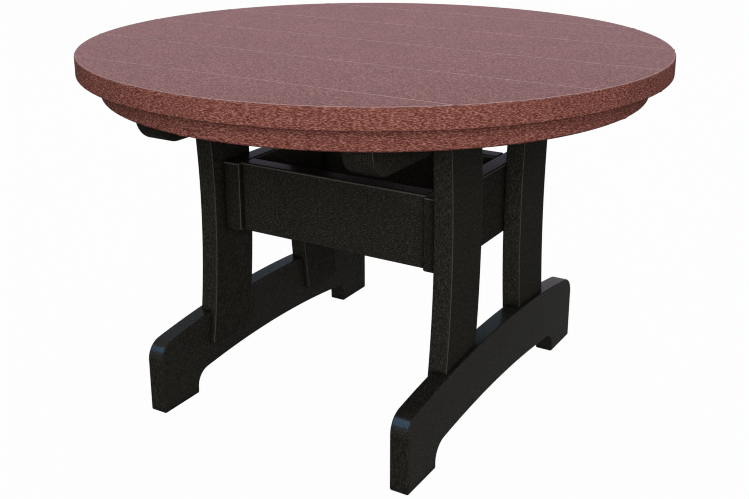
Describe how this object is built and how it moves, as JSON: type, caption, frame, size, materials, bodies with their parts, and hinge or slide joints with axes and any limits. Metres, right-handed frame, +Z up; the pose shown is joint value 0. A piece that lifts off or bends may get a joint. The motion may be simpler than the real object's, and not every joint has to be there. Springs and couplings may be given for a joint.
{
  "type": "round coffee table",
  "caption": "Low round outdoor coffee table of plastic lumber: a slatted round top on a rim and battens, carried by curved legs, a boxed apron and arched trestle feet.",
  "frame": {"origin": "on the floor, under the centre of the round top", "axes": "+Z up, X along the slats of the top, Y along the feet"},
  "size_m": [0.762, 0.7618, 0.4762],
  "materials": {
    "top_lumber": "reddish brown plastic lumber with a fine embossed grain",
    "base_lumber": "black plastic lumber with a fine embossed grain",
    "screws": "plain stainless steel"
  },
  "bodies": {
    "root": {"top_slat_1": "top_lumber", "top_slat_2": "top_lumber", "top_slat_3": "top_lumber", "top_slat_4": "top_lumber", "top_slat_5": "top_lumber", "top_slat_6": "top_lumber", "rim_segment_1": "top_lumber", "rim_segment_2": "top_lumber", "rim_segment_3": "top_lumber", "rim_segment_4": "top_lumber", "left_batten": "base_lumber", "right_batten": "base_lumber", "left_front_leg": "base_lumber", "left_back_leg": "base_lumber", "right_front_leg": "base_lumber", "right_back_leg": "base_lumber", "left_foot": "base_lumber", "right_foot": "base_lumber", "left_apron_end": "base_lumber", "right_apron_end": "base_lumber", "front_apron": "base_lumber", "back_apron": "base_lumber", "batten_to_slat_screws": "screws", "rim_screws": "screws", "leg_to_batten_screws": "screws", "apron_to_leg_screws": "screws", "apron_corner_screws": "screws", "foot_to_leg_screws": "screws"}
  },
  "joints": []
}
